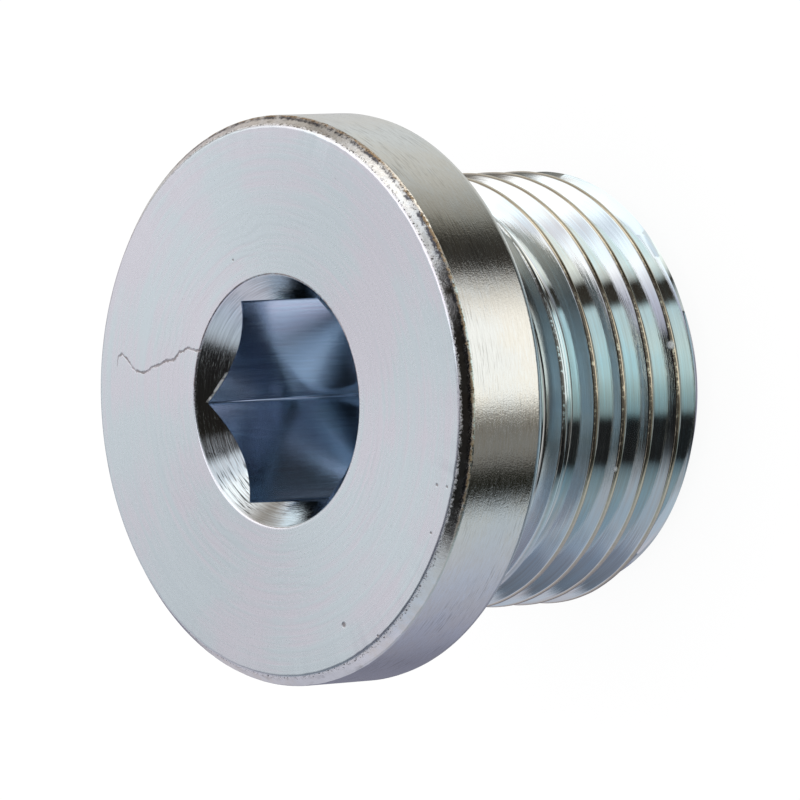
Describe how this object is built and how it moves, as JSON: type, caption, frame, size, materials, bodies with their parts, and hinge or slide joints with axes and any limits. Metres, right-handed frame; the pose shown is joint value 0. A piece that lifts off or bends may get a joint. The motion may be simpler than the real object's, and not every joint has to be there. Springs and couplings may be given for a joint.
{
  "type": "hex socket plug",
  "caption": "Hex socket screw plug with a round collar and a short metric thread, which closes a threaded port against a sealing face.",
  "frame": {"origin": "centre of the flat sealing face under the collar", "axes": "+Z out of the socket mouth along the plug's axis, and +X through a corner of the hex socket"},
  "size_m": [0.023, 0.023, 0.0163],
  "materials": {
    "zinc_plated_steel": "bright zinc plating over turned steel, with a faint blue tint"
  },
  "bodies": {
    "root": {"plug_body": "zinc_plated_steel"}
  },
  "joints": []
}
